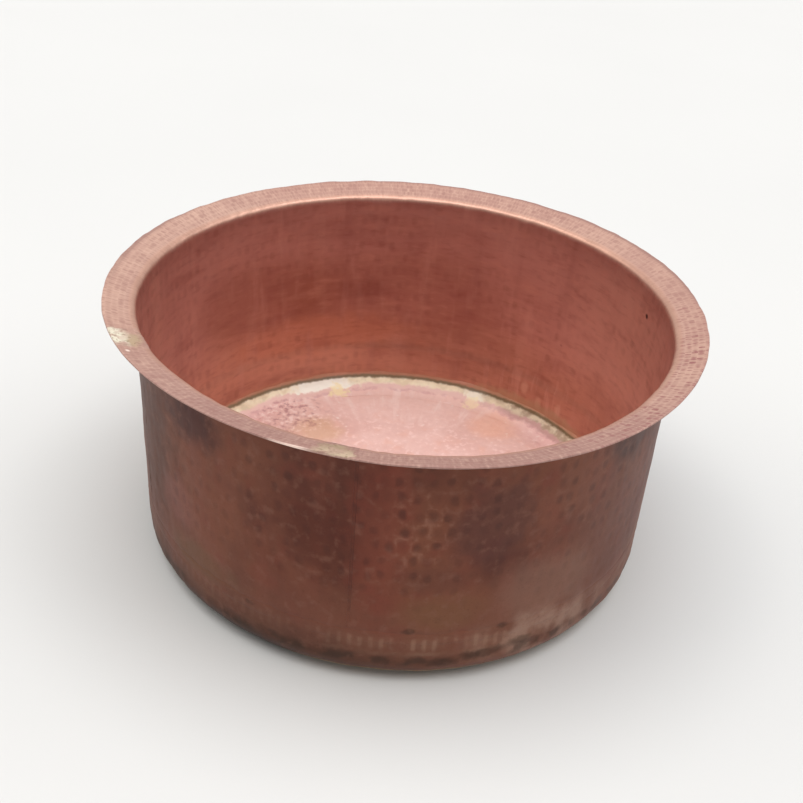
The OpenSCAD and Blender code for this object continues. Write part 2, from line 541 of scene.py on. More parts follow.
def close_middle(mesh):
    """Closes the small hole that turning leaves at the axis."""
    shape = bmesh.new()
    shape.from_mesh(mesh)
    small = [v for v in shape.verts if v.co.xy.length < 1.25 * AXIS_GAP]
    upper = [v for v in small if v.co.z > SHEET_T / 2]
    lower = [v for v in small if v.co.z <= SHEET_T / 2]
    for ring in (upper, lower):
        bmesh.ops.pointmerge(shape, verts=ring, merge_co=Vector((0, 0, ring[0].co.z)))
    shape.to_mesh(mesh)
    shape.free()


# -------------------- spelter of the base
def ring_face():
    """The inside ring's face, from its feathered edge on the floor up to the wall."""
    low = np.array([FOOT_IN_R - RING_W, SHEET_T + FEATHER_T])
    rise = RING_TOP - low[1]
    radius = (RING_W ** 2 + rise ** 2) / (2 * rise)
    end = math.degrees(math.atan2(rise - radius, RING_W))
    return np.concatenate([[low], arc(low[0], low[1] + radius, radius, -90, end, 16)])


def bead_face():
    """The outside bead's face, from where it rises out of the wall down to the skirt's edge."""
    heights = np.linspace(BEAD_TOP, SKIRT_TOP + 0.4 * MM, 10)
    wall = wall_inner_r(heights) + SHEET_T
    rise = smooth(heights, BEAD_TOP, BEAD_TOP - 3 * MM)
    face = wall + 0.45 * MM * (rise - 1) + (LOW_R + 0.05 * MM - wall) * rise ** 2
    lower = [
        [LOW_R + 0.04 * MM, SKIRT_TOP - 1 * MM],
        [LOW_R - 0.05 * MM, SKIRT_TOP - 3 * MM],
        [LOW_R - 0.5 * MM, SKIRT_TOP - 4.5 * MM]
    ]
    return np.concatenate([np.stack([face, heights], 1), lower])


def build_base_spelter(materials):
    """The spelter of the base: inside ring, film through the lap, and bead on the skirt's edge."""
    face, bead = ring_face(), bead_face()
    foot_angle = -math.degrees(math.acos((FOOT_IN_R - CORNER_CR) / SCARF_R))
    film_up = np.concatenate([
        arc(CORNER_CR, CORNER_R, SCARF_R, foot_angle, 0, 4),
        line((FOOT_OUT_R, CORNER_R), (FOOT_OUT_R, STEP_LOW), 8 * MM),
    ])
    film_down = np.concatenate([
        line((LOW_R - SHEET_T, SKIRT_TOP - 0.4 * MM), (LOW_R - SHEET_T, CORNER_R), 8 * MM),
        arc(CORNER_CR, CORNER_R, CORNER_R - SHEET_T, 0, -90, 8),
        [[FOOT_IN_R - RING_W, SHEET_T - 0.5 * MM]],
    ])
    section = np.concatenate([face, film_up, bead, film_down])
    slots = np.zeros(len(section))
    bead_rows = np.arange(len(bead)) + len(face) + len(film_up)
    slots[bead_rows] = 1
    normal = normals_of(section)
    across = np.linspace(0, 1, len(face))
    bulge = 4 * across * (1 - across)

    def loop(degrees):
        around = degrees[:, None]
        r, z = spread(section, around)
        ring = slice(0, len(face))
        points = place(around, r[:, ring], z[:, ring])
        edge = points[:, :1]
        inward = MM * (0.8 * waves(edge, 70 * MM, 61) + 0.4 * waves(edge, 17 * MM, 62)) * (1 - across) ** 2
        upward = MM * (0.5 * waves(edge, 55 * MM, 63) + 0.25 * waves(edge, 13 * MM, 64)) * across ** 2
        lump = 0.16 * waves(points, 18 * MM, 65) + 0.07 * waves(points, 7 * MM, 66)
        lump = MM * (lump * (0.2 + bulge) + 0.15 * bulge)
        r[:, ring] += normal[ring, 0] * lump - inward
        z[:, ring] += normal[ring, 1] * lump + upward
        rough = 0.06 * MM * waves(place(around, r[:, bead_rows], z[:, bead_rows]), 9 * MM, 67)
        r[:, bead_rows] += rough
        return r, z, slots, np.zeros(len(section))

    around = np.linspace(90, 450, round(TURN * WALL_R / STEP_AROUND), endpoint=False)
    return turned_mesh("base_seam_brass", loop, around, True, materials)


# -------------------- wall seams
def build_seam(name, middle, side, patch_w, materials, seed):
    """One wall seam's spelter: the film between the sheets, and bare lines down the wall on both faces.

    side is 1 where the outer line lies at the seam's far end, counted anticlockwise, and -1 at its near end.
    """
    section = SheetSection()
    low, high = middle - HALF_LAP, middle + HALF_LAP
    ends = [(low, low + SEAM_LINE), (high - SEAM_LINE, high)]
    inner_line, outer_line = ends if side > 0 else ends[::-1]

    def loop(degrees):
        around, r, z = section.grid(degrees)
        in_outer = (around > outer_line[0]) & (around < outer_line[1])
        in_inner = (around > inner_line[0]) & (around < inner_line[1])
        sunk = MM * (0.06 - 0.08 * waves(place(around, r, z), 9 * MM, seed))
        upper_depth = np.where(in_inner, sunk, LAYER_T)
        lower_depth = np.where(in_outer, SHEET_T - sunk, SHEET_T - LAYER_T)
        return section.loop(degrees, upper_depth, lower_depth, [2, 1])

    degrees = with_steps(np.linspace(low, high, SEAM_COLUMNS), *outer_line, *inner_line)
    degrees = degrees[(degrees >= low) & (degrees <= high)]
    seam = turned_mesh(name, loop, degrees, False, materials)
    join_into(seam, build_patch(name + "_patch", middle, patch_w, materials, seed))
    return seam


def build_front_seam(materials):
    return build_seam("front_seam_brass", FRONT_SEAM, 1, FRONT_PATCH_W, materials, 71)


def build_left_seam(materials):
    return build_seam("left_seam_brass", LEFT_SEAM, -1, LEFT_PATCH_W, materials, 81)


def build_patch(name, middle, patch_w, materials, seed):
    """Spelter smeared across the top of the rim. It sinks under the copper where it thins out."""
    path = sheet_path()
    normal = normals_of(path)
    on_top = path[:, 1] > BEND_CZ + 0.4 * BEND_TOP_R
    path, normal = path[on_top], normal[on_top]
    half_width = math.degrees(patch_w / 2 / RIM_R)
    degrees = np.linspace(middle - 1.6 * half_width, middle + 1.6 * half_width, PATCH_COLUMNS)

    def loop(degrees):
        around = degrees[:, None]
        r, z = spread(path, around)
        points = place(around, r, z)
        ragged = 0.22 * waves(points, 20 * MM, seed + 1) + 0.16 * waves(points, 8 * MM, seed + 2)
        cover = smooth(1 - np.abs(around - middle) / half_width + ragged, -0.5, 0.5)
        bumps = 0.05 * waves(points, 5 * MM, seed + 3) + 0.5 * cover - 0.25
        height = rim_relief(around, r, z) + MM * bumps
        r_loop, z_loop = out_and_back(shifted(r, z, normal, height), shifted(r, z, normal, -PATCH_SINK))
        return r_loop, z_loop, np.zeros(2 * len(path)), np.zeros(2 * len(path))

    return turned_mesh(name, loop, degrees, False, materials)


def join_into(piece, other):
    """Moves other's mesh into piece."""
    bpy.ops.object.select_all(action="DESELECT")
    for item in (piece, other):
        item.select_set(True)
    bpy.context.view_layer.objects.active = piece
    bpy.ops.object.join()


# -------------------- material building blocks
def screen(r, g, b):
    """A colour given as 0 to 255 on screen, as the linear colour that shaders take."""
    return tuple(((c / 255 + 0.055) / 1.055) ** 2.4 for c in (r, g, b)) + (1.0,)


class Finish:
    """A material being built: its node tree, its shader and the patterns that feed it."""

    def __init__(self, name, metallic):
        self.material = bpy.data.materials.new(name)
        self.material.use_nodes = True
        self.tree = self.material.node_tree
        self.shader = self.tree.nodes["Principled BSDF"]
        self.shader.inputs["Metallic"].default_value = metallic
        self.position = self.tree.nodes.new("ShaderNodeTexCoord").outputs["Object"]
        self.x, self.y, self.z = self.split(self.position)
        self.r = (self.x * self.x + self.y * self.y).math("SQRT")
        marks = self.tree.nodes.new("ShaderNodeUVMap")
        marks.uv_map = "Marks"
        self.u, self.v, _ = self.split(marks.outputs[0])

    def split(self, vector):
        node = self.tree.nodes.new("ShaderNodeSeparateXYZ")
        self.tree.links.new(vector, node.inputs[0])
        return [Wire(self.tree, socket) for socket in node.outputs]

    def joined(self, x, y):
        """A vector of two numbers."""
        node = self.tree.nodes.new("ShaderNodeCombineXYZ")
        for slot, value in enumerate((x, y)):
            self.tree.links.new(value.socket, node.inputs[slot])
        return node.outputs[0]

    def noise(self, size, detail=3.0, vector=None):
        """Noise from about 0 to 1. size is that of its features, in metres unless vector counts otherwise."""
        node = self.tree.nodes.new("ShaderNodeTexNoise")
        node.inputs["Scale"].default_value = 1 / size
        node.inputs["Detail"].default_value = detail
        self.tree.links.new(vector or self.position, node.inputs["Vector"])
        return Wire(self.tree, node.outputs["Fac"])

    def streaks(self, long_in_marks, thin):
        """Noise drawn out around the vessel: length in marks, and thickness in metres of height."""
        return self.noise(1.0, 4.0, self.joined(self.u / long_in_marks, self.z / thin))

    def drips(self, wide_in_marks, tall):
        """Noise drawn out downwards."""
        return self.noise(1.0, 3.0, self.joined(self.u / wide_in_marks, self.z / tall))

    def radial(self, wide_in_marks, long):
        """Noise drawn out along the rim's width."""
        return self.noise(1.0, 3.0, self.joined(self.u / wide_in_marks, self.r / long))

    def between(self, value, low, high):
        """0 where value is at low and 1 at high, smooth between. low may be the higher."""
        node = self.tree.nodes.new("ShaderNodeMapRange")
        node.interpolation_type = "SMOOTHSTEP"
        node.inputs["From Min"].default_value = min(low, high)
        node.inputs["From Max"].default_value = max(low, high)
        node.inputs["To Min"].default_value = 0.0 if low < high else 1.0
        node.inputs["To Max"].default_value = 1.0 if low < high else 0.0
        self.tree.links.new(value.socket, node.inputs["Value"])
        return Wire(self.tree, node.outputs["Result"])

    def patch(self, degrees, r, z, across, up, ragged=0.5, size=14 * MM):
        """A soft ragged patch round a place on the vessel, from 0 to 1, with these half sizes."""
        a = math.radians(degrees)
        centre = (r * math.cos(a), r * math.sin(a), z)
        total = 0.0
        for value, middle, half in zip((self.x, self.y, self.z), centre, (across, across, up)):
            term = (value - middle) / half
            total = term * term + total
        distance = total.math("SQRT") + (self.noise(size, 4.0) - 0.5) * (2 * ragged)
        return self.between(distance, 1.25, 0.45)

    def mix(self, base, other, share):
        """base with other laid over it by share. Each colour is 0 to 255 on screen, or a socket."""
        node = self.tree.nodes.new("ShaderNodeMix")
        node.data_type = "RGBA"
        self.tree.links.new(share.socket, node.inputs["Factor"])
        for slot, colour in ((6, base), (7, other)):
            if isinstance(colour, tuple):
                node.inputs[slot].default_value = screen(*colour)
            else:
                self.tree.links.new(colour, node.inputs[slot])
        return node.outputs[2]

    def over(self, colour, *layers):
        """colour with layers laid over it in turn, each a colour and its share."""
        for other, share in layers:
            colour = self.mix(colour, other, share)
        return colour

    def stain(self, colour, tint, degrees, r, z, across, up, share, ragged=0.5, grain=14):
        """colour with a ragged patch of tint over it by share. z, across, up and grain are in mm."""
        area = self.patch(degrees, r, z * MM, across * MM, up * MM, ragged, grain * MM)
        return self.mix(colour, tint, area * share)

    def finish(self, colour, roughness, height, depth):
        """Wires colour, roughness and a relief of this depth to the shader, and returns the material."""
        self.tree.links.new(colour, self.shader.inputs["Base Color"])
        self.tree.links.new(roughness.socket, self.shader.inputs["Roughness"])
        bump = self.tree.nodes.new("ShaderNodeBump")
        bump.inputs["Distance"].default_value = depth
        self.tree.links.new(height.socket, bump.inputs["Height"])
        self.tree.links.new(bump.outputs[0], self.shader.inputs["Normal"])
        return self.material


# -------------------- materials
# Stains on the wall, laid on in turn: tint on screen, direction, height, half width,
# half height and share, then raggedness and grain where those differ. Lengths are in millimetres.
OUTSIDE_STAINS = [
    ((78, 27, 12), -102, 122, 38, 38, 0.6),
    ((126, 58, 42), -92, 134, 24, 86, 0.45, 0.7),
    ((88, 48, 40), -71, 143, 32, 40, 0.75),
    ((86, 46, 36), -81, 98, 26, 14, 0.35),
    ((108, 64, 50), -41, 112, 40, 80, 0.62),
    ((80, 46, 38), -37, 176, 34, 24, 0.85),
    ((122, 80, 52), -79, 68, 30, 18, 0.6),
    ((84, 39, 14), -152, 130, 46, 84, 0.85),
    ((66, 30, 26), -134, 172, 32, 22, 0.75),
    ((132, 78, 66), -139, 92, 26, 22, 0.6),
    ((112, 82, 58), -132, 55, 40, 14, 0.5)
]
# The inside's table also holds painted light and painted shade, marked below.
INSIDE_STAINS_AND_PAINTED_LIGHT = [
    # Painted light: the right side of the inside is painted lighter.
    ((206, 148, 130), 18, 120, 90, 90, 0.5, 0.3, 60),
    # Painted shade: the far side of the inside is painted darker.
    ((148, 86, 68), 93, 104, 145, 56, 0.56, 0.3, 60),
    # Painted shade: the far side just under the rim's bend is painted darker.
    ((140, 80, 68), 100, 170, 120, 15, 0.36, 0.3, 40),
    ((146, 80, 58), 131, 110, 92, 48, 0.5, 0.3, 60),
    ((150, 92, 74), 70, 50, 130, 30, 0.42, 0.3, 40),
    ((150, 88, 70), 23, 54, 60, 34, 0.42, 0.3)
]


def stained(f, colour, stains):
    """A colour with a table of stains laid over it, on the wall. The inside's table also holds painted light
    and shade.
    """
    for tint, degrees, z, *rest in stains:
        colour = f.stain(colour, tint, degrees, WALL_R, z, *rest)
    return colour


def tarnished_wall(f):
    """Colour of the wall's outside without its hammer marks: brown copper, clouded and stained."""
    cloud, blotch = f.noise(80 * MM, 3.0), f.noise(22 * MM, 4.0)
    colour = f.over(
        f.mix((92, 44, 30), (121, 69, 48), f.between(cloud, 0.34, 0.66)),
        ((118, 52, 38), f.between(blotch, 0.5, 0.72) * 0.5),
        ((128, 68, 50), f.between(f.drips(2.6, 140 * MM), 0.42, 0.66) * 0.35),
        ((134, 90, 72), f.between(f.z, 100 * MM, 25 * MM) * 0.42)
    )
    colour = stained(f, colour, OUTSIDE_STAINS)
    colour = f.stain(colour, (150, 112, 94), -57, LOW_R, 78, 44, 32, 0.4, 0.4, 40)
    rubbed = f.patch(-55, LOW_R, 32 * MM, 60 * MM, 27 * MM, 0.4, 30 * MM) * f.between(blotch, 0.32, 0.64)
    return f.mix(colour, (174, 140, 122), rubbed * 0.7)


def skirt_marks(f, colour):
    """Lays the light teeth, the dark row and the dark spots of the bottom band over a colour.
    It also darkens the underside and the low left, with painted shade along the foot on the left.
    """
    wobble = (f.noise(12 * MM, 3.0) - 0.5) * (10 * MM)
    height = f.z + wobble
    light = f.between(f.noise(26 * MM, 3.0), 0.36, 0.6)
    light = light * (0.25 + 0.75 * f.patch(-77, LOW_R, 38 * MM, 92 * MM, 40 * MM, 0.3, 20 * MM))
    in_band = f.between(height, SKIRT_TOP - 1.7 * TEETH_H, SKIRT_TOP - 0.8 * TEETH_H)
    in_band = in_band * f.between(height, SKIRT_TOP + 4 * MM, SKIRT_TOP - 1 * MM)
    comb = 0.3 + 0.7 * f.between(tooth(f.u), 0.01, 0.16)
    thin = f.between(height, 26 * MM, 29 * MM) * f.between(height, 33 * MM, 30 * MM)
    under = f.between(f.r, 190 * MM, 172 * MM)
    # Darker on the underside and low on the left.
    dark_low_left_and_under = (f.between(f.z, 52 * MM, 14 * MM) * f.between(f.x, 90 * MM, -45 * MM)).math("MAXIMUM", under)
    row = f.between(height, 16 * MM, 22 * MM) * f.between(height, 30 * MM, 24 * MM)
    rubbed = f.between(f.z, 12 * MM, 8 * MM) * f.between(f.x, -90 * MM, -30 * MM) * (1 - under)
    # Painted shade along the foot on the left.
    painted_shade_low_left = f.between(f.z, 26 * MM, 11 * MM) * f.between(f.x, -40 * MM, -90 * MM) * (1 - under)
    colour = f.over(
        colour,
        ((162, 124, 102), in_band * comb * light * 0.58),
        ((156, 120, 98), thin * light * 0.4),
        ((52, 32, 18), dark_low_left_and_under * 0.5),
        ((58, 40, 28), row * f.between(f.noise(14 * MM, 4.0), 0.40, 0.60) * 0.62),
        ((172, 146, 112), rubbed * 0.75),
        ((40, 26, 14), painted_shade_low_left * 0.75)
    )
    for degrees, z, across, up in SKIRT_SPOTS:
        colour = f.stain(colour, (58, 34, 20), degrees, LOW_R, z, across, up, 0.55, 0.8, 7)
    return colour


def outside_face(f, *tints):
    """Wires the outside's colour and finish: dark hammer marks in a lighter network, fading lower down.
    The network is partly painted highlight, and both are strongest in a painted highlight at the front.

    Each of tints is a colour laid over the copper's, and its share.
    """
    shift = (f.noise(15 * MM, 2.0) - 0.5) * 0.5
    middle, strength = hammer_mark(f.u + shift, f.v - shift)
    fine, grain = f.noise(8 * MM, 5.0), f.noise(1.4 * MM, 4.0)
    # Painted highlight: in this patch at the front, where the light falls, the network and the marks are
    # strongest.
    highlit_patch = f.patch(-85, WALL_R, 142 * MM, 26 * MM, 36 * MM, 0.4)
    cloudy = f.between(f.noise(60 * MM, 2.0), 0.40, 0.62)
    fade = 0.25 + 0.75 * f.between(f.z, 72 * MM, 104 * MM)
    dot = f.between(middle, 0.4, 0.98) * strength * fade * (0.35 + 0.4 * cloudy).math("MAXIMUM", highlit_patch)
    # The lighter network is partly real and partly painted highlight.
    net_and_highlight = f.between(middle, 0.58, 0.0) * f.between(f.noise(8 * MM, 3.0), 0.40, 0.62)
    net_and_highlight = net_and_highlight * fade * (0.04 + 0.12 * cloudy).math("MAXIMUM", highlit_patch)
    colour = f.over(
        skirt_marks(f, tarnished_wall(f)),
        ((140, 96, 80), f.between(fine, 0.5, 0.75) * 0.35),
        ((52, 22, 17), dot * 0.5),
        ((158, 110, 90), net_and_highlight * 0.36),
        ((72, 38, 30), f.between(grain, 0.55, 0.8) * 0.3),
        *tints
    )
    roughness = 0.40 + 0.14 * fine + 0.10 * grain
    height = 0.5 - 0.35 * dot + 0.2 * fine + 0.08 * grain
    return f.finish(colour, roughness, height, 0.3 * MM)


def outside_copper():
    """The wall's and the pan's outside."""
    return outside_face(Finish("outside_copper", metallic=0.55))


def dark_spelter():
    """Spelter bared on the outside: tarnished like the copper round it, and a little darker up the wall."""
    f = Finish("dark_spelter", metallic=0.55)
    up_wall = f.between(f.z, SKIRT_TOP + 14 * MM, SKIRT_TOP + 30 * MM)
    return outside_face(f, ((74, 34, 26), up_wall * f.between(f.noise(4 * MM, 4.0), 0.35, 0.65) * 0.4))


def inner_wall_colour(f):
    """Colour of the wall's inside: red-brown copper, more orange low down, beaten, clouded and dripped on.
    Its table adds painted light on the right side and painted shade at the back.
    """
    cloud, streak, drip = f.noise(60 * MM, 3.0), f.streaks(1.5, 5 * MM), f.drips(1.6, 70 * MM)
    middle, strength = hammer_mark(f.u, f.v)
    low = f.between(f.z + (cloud - 0.5) * (60 * MM), 110 * MM, 40 * MM)
    colour = f.mix((190, 130, 117), (197, 136, 114), low)
    colour = stained(f, colour, INSIDE_STAINS_AND_PAINTED_LIGHT)
    colour = f.stain(colour, (214, 154, 132), 117, FOOT_IN_R, 33, 70, 15, 0.4)
    colour = f.stain(colour, (200, 126, 94), 116, FOOT_IN_R, 62, 100, 22, 0.45)
    rows, bands = f.streaks(5, 16 * MM), f.drips(3.2, 260 * MM)
    beaten = f.between(middle, 0.3, 1.0) * strength * f.between(cloud, 0.4, 0.6)
    dripping = f.between(f.z, 75 * MM, 20 * MM) * f.between(f.drips(0.9, 60 * MM), 0.5, 0.66)
    dripping = dripping * f.patch(50, FOOT_IN_R, 40 * MM, 60 * MM, 50 * MM)
    colour = f.over(
        colour,
        ((140, 74, 66), f.between(rows, 0.5, 0.72) * 0.32),
        ((208, 146, 124), f.between(rows, 0.46, 0.28) * 0.25),
        ((134, 76, 70), f.between(bands, 0.52, 0.7) * 0.2),
        ((212, 156, 136), f.between(bands, 0.44, 0.3) * 0.2),
        ((128, 66, 56), f.between(streak, 0.5, 0.75) * 0.24),
        ((208, 146, 126), f.between(streak, 0.46, 0.3) * 0.14),
        ((122, 64, 54), f.between(f.z, 172 * MM, 198 * MM) * 0.3),
        ((118, 62, 50), beaten * 0.2),
        ((204, 146, 130), f.between(drip, 0.52, 0.75) * 0.3),
        ((216, 160, 144), dripping * 0.5)
    )
    for degrees, z, tall in ((54, 33, 9), (49, 24, 8), (42, 27, 7)):
        colour = f.stain(colour, (214, 168, 144), degrees, FOOT_IN_R, z, 4, tall, 0.45, 0.5, 8)
    colour = f.stain(colour, (186, 154, 122), 50, FOOT_IN_R, 17, 66, 8, 0.6, 0.8, 9)
    lowest = f.between(f.z + (cloud - 0.5) * (8 * MM), 19 * MM, 15 * MM)
    colour = f.mix(colour, (198, 150, 118), lowest * 0.35)
    colour = f.stain(colour, (130, 68, 56), 103, WALL_R, 108, 26, 12, 0.4)
    colour = f.stain(colour, (58, 28, 24), 16.5, WALL_R, 173, 2.6, 2.6, 1.0, 0.2, 4)
    return f.stain(colour, (72, 36, 30), 45, WALL_R, 93, 2.6, 2.2, 0.8, 0.3, 4)


def rim_colour(f):
    """Colour of the rim's top: rubbed pink copper with rows of fine marks, mottled at the front right.
    Darker at the front, with painted shade at the back and a painted highlight at the front left edge.
    """
    cloud, rays, fine = f.noise(30 * MM, 3.0), f.radial(0.32, 5 * MM), f.noise(5 * MM, 4.0)
    row = f.r / (4.4 * MM)
    in_row = row - whole(row) - 0.5
    ticks = f.noise(1.0, 2.0, f.joined(f.u / 0.2, whole(row) * 3.7)) - 0.5 * in_row * in_row
    right = f.patch(12, RIM_R, TOP_Z, 140 * MM, 90 * MM, 0.3, 60 * MM)
    mottled = f.patch(-25, RIM_R, TOP_Z, 130 * MM, 90 * MM, 0.3, 40 * MM)
    dotted = f.between(ticks, 0.44, 0.58) * f.between(fine, 0.38, 0.56)
    far_edge = f.between(f.r, RIM_R - 3 * MM, RIM_R - 1 * MM) * f.between(f.y, -60 * MM, 60 * MM)
    at_edge = f.between(f.r, RIM_R - 2.8 * MM, RIM_R - 1.6 * MM)
    return f.over(
        f.mix((197, 158, 142), (187, 147, 133), f.between(cloud, 0.4, 0.65)),
        ((156, 118, 112), f.between(f.y, -70 * MM, -190 * MM) * 0.62),
        # Painted shade: the back of the rim is painted darker.
        ((172, 126, 114), f.between(f.y, 120 * MM, 210 * MM) * 0.5),
        ((160, 112, 102), f.between(rays, 0.52, 0.75) * 0.25),
        ((150, 106, 98), f.between(ticks, 0.45, 0.62) * 0.42),
        ((220, 184, 164), f.between(ticks, 0.42, 0.26) * 0.3),
        ((172, 128, 118), right * 0.26),
        ((148, 90, 90), mottled * dotted * 0.75),
        ((140, 102, 96), far_edge * 0.6),
        # Painted highlight: a light line along the rim's edge at the front left.
        ((246, 218, 204), at_edge * f.patch(-107, RIM_R, TOP_Z, 15 * MM, 30 * MM, 0.3)),
        ((240, 216, 202), f.patch(-147.8, 219 * MM, TOP_Z, 1.8 * MM, 8 * MM, 0.2, 4 * MM))
    )


def inside_face(f, wall):
    """Wires the inside's finish: the wall, the rim's top, and the bend between them, smoother and painted
    lighter as a highlight.
    """
    fine, grain = f.noise(8 * MM, 5.0), f.noise(1.3 * MM, 4.0)
    start, end = bend_span()
    along = f.v + (fine - 0.5) * 0.2
    on_rim = f.between(along, start - 0.2, start + 0.25)
    bend = f.between(along, start - 0.05, start + 0.15) * f.between(along, end + 0.3, end)
    colour = f.mix(wall, rim_colour(f), on_rim)
    # Painted highlight: the bend is painted lighter all round, and is also made smoother and more metallic.
    colour = f.mix(colour, (222, 172, 150), bend * 0.6)
    metallic = 0.55 - 0.42 * on_rim + 0.35 * bend
    f.tree.links.new(metallic.socket, f.shader.inputs["Metallic"])
    roughness = 0.40 + 0.14 * fine + 0.08 * grain + 0.12 * on_rim - 0.22 * bend
    height = 0.3 * fine + 0.1 * grain + 0.3 * f.radial(0.32, 5 * MM) * on_rim
    return f.finish(colour, roughness, height, 0.25 * MM)


def inside_copper():
    """The wall's inside and the rim's top."""
    f = Finish("inside_copper", metallic=0.55)
    return inside_face(f, inner_wall_colour(f))


def inner_spelter():
    """Spelter bared on the wall's inside: dull brass, stained brown like the copper beside it."""
    f = Finish("inner_spelter", metallic=0.55)
    fine, cloud = f.noise(5 * MM, 4.0), f.noise(18 * MM, 3.0)
    copper = inner_wall_colour(f)
    colour = f.mix((176, 124, 92), copper, f.between(cloud, 0.36, 0.62) * 0.8)
    return inside_face(f, f.mix(colour, (112, 72, 50), f.between(fine, 0.52, 0.7) * 0.35))


def floor_colour(f):
    """Colour of the pan's inside: bright pink copper, pitted in one zone, with tan stains.
    The far side is painted lighter, as painted light where the wall shades it.
    """
    cloud, blotch, fine = f.noise(45 * MM, 4.0), f.noise(14 * MM, 4.0), f.noise(5 * MM, 4.0)
    far = f.between(f.y, 110 * MM, 170 * MM)
    near_ring = f.between(f.r + (blotch - 0.5) * (20 * MM), 160 * MM, 182 * MM)
    colour = f.over(
        f.mix((233, 196, 187), (226, 184, 174), f.between(cloud, 0.4, 0.65)),
        ((232, 184, 166), f.between(blotch, 0.5, 0.72) * 0.5),
        # Painted light: the far side of the floor, by the wall, is painted lighter and streaked along the
        # radius.
        ((250, 214, 204), far * 0.7),
        ((255, 232, 224), f.between(f.radial(1.1, 50 * MM), 0.5, 0.7) * far * 0.6),
        ((236, 190, 188), near_ring * f.between(f.y, 170 * MM, 110 * MM) * 0.5),
        ((246, 214, 208), f.between(fine, 0.46, 0.3) * 0.6)
    )
    colour = f.stain(colour, (244, 190, 164), 57, 164 * MM, 0, 26, 20, 0.6)
    colour = f.stain(colour, (216, 174, 136), 126, 130 * MM, 0, 26, 20, 0.6)
    pitted = f.patch(129, 166 * MM, 0, 34 * MM, 20 * MM, 0.6) + 0.1
    return f.over(
        colour,
        ((250, 226, 218), pitted * f.between(fine, 0.46, 0.36) * 0.6),
        ((172, 114, 118), pitted * f.between(fine, 0.50, 0.66) * 0.56),
        ((252, 240, 234), f.between(f.noise(9 * MM, 3.0), 0.66, 0.78) * 0.6)
    )


def floor_copper():
    """The pan's inside."""
    f = Finish("floor_copper", metallic=0.2)
    blotch, fine = f.noise(14 * MM, 4.0), f.noise(5 * MM, 4.0)
    roughness = 0.48 + 0.2 * blotch
    return f.finish(floor_colour(f), roughness, 0.6 * fine + 0.4 * blotch, 0.3 * MM)


def ring_spelter():
    """The inside ring: pale brass between a dark olive line along the wall and a thin edge on the floor."""
    f = Finish("ring_spelter", metallic=0.12)
    cloud, fine, soft = f.noise(16 * MM, 4.0), f.noise(4 * MM, 4.0), f.noise(9 * MM, 3.0)
    white = f.patch(114, 192 * MM, 7 * MM, 34 * MM, 20 * MM, 1.1, 10 * MM)
    white = white.math("MAXIMUM", 0.6 * f.patch(68, 191 * MM, 6 * MM, 12 * MM, 20 * MM, 1.2, 6 * MM))
    right = f.patch(46, 191 * MM, 8 * MM, 60 * MM, 30 * MM, 0.5)
    edge_r = f.r + (cloud - 0.5) * (7 * MM) + (fine - 0.5) * (3 * MM) + white * (3.5 * MM)
    thin = f.mix((236, 200, 190), (178, 130, 126), right * 0.7)
    purple = f.between(edge_r, 188.5 * MM, 186 * MM) * f.between(edge_r, 183 * MM, 185 * MM)
    height = f.z + (fine - 0.5) * (1.5 * MM) + (cloud - 0.5) * (2.5 * MM)
    above = f.mix(inner_wall_colour(f), (176, 130, 98), f.between(cloud, 0.4, 0.6) * 0.5)
    colour = f.over(
        f.mix((250, 238, 208), (234, 216, 184), f.between(cloud, 0.46, 0.66)),
        ((208, 196, 164), f.between(soft, 0.5, 0.7) * 0.4),
        ((254, 254, 244), white * 0.8),
        ((158, 132, 110), right * (0.4 + 0.4 * f.between(soft, 0.4, 0.6))),
        (thin, f.between(edge_r, 192.5 * MM, 189.5 * MM)),
        (floor_colour(f), f.between(edge_r, 188.5 * MM, 184.5 * MM)),
        ((190, 124, 132), purple * f.between(soft, 0.42, 0.62) * 0.35),
        ((106, 82, 46), f.between(height, 10.4 * MM, 12.2 * MM) * 0.88),
        (above, f.between(height, 12.8 * MM, 14.8 * MM))
    )
    for degrees, r, share in ((110, 184, 0.8), (68, 184, 0.5)):
        colour = f.stain(colour, (252, 236, 186), degrees, r * MM, 3, 9, 12, share, 1.3, 5)
    roughness = 0.45 + 0.2 * fine
    return f.finish(colour, roughness, 0.5 * fine + 0.5 * cloud, 0.2 * MM)


def rim_spelter(name, degrees, pale, olive):
    """Spelter smeared on the rim: pale at the rim's edge, olive towards the bend, thin over the copper."""
    f = Finish(name, metallic=0.25)
    cloud, fine = f.noise(9 * MM, 4.0), f.noise(2.6 * MM, 4.0)
    inward = f.between(f.r + (cloud - 0.5) * (20 * MM), RIM_R - 6 * MM, RIM_R - 15 * MM)
    brass = f.mix(pale, olive, inward)
    brass = f.mix(brass, (132, 106, 76), f.between(fine, 0.52, 0.68) * 0.6)
    laid = f.patch(degrees, RIM_R - 8 * MM, TOP_Z, 14 * MM, 40 * MM, 0.8, 9 * MM)
    colour = f.mix(rim_colour(f), brass, laid * (0.55 + 0.45 * f.between(cloud, 0.6, 0.45)))
    roughness = 0.45 + 0.25 * fine
    return f.finish(colour, roughness, fine, 0.3 * MM)


def pale_floor():
    """The studio floor: matt and nearly white."""
    f = Finish("studio_floor", metallic=0.0)
    cloud = f.noise(500 * MM, 2.0)
    colour = f.mix((216, 216, 215), (220, 220, 219), cloud)
    return f.finish(colour, 0.75 + 0.05 * cloud, f.noise(2 * MM, 2.0), 0.05 * MM)


# -------------------- studio
def add_floor():
    mesh = bpy.data.meshes.new("studio_floor")
    half = 12.0
    corners = [(-half, -half, 0), (half, -half, 0), (half, half, 0), (-half, half, 0)]
    mesh.from_pydata(corners, [], [(0, 1, 2, 3)])
    mesh.materials.append(pale_floor())
    floor = bpy.data.objects.new("studio_floor", mesh)
    bpy.context.scene.collection.objects.link(floor)


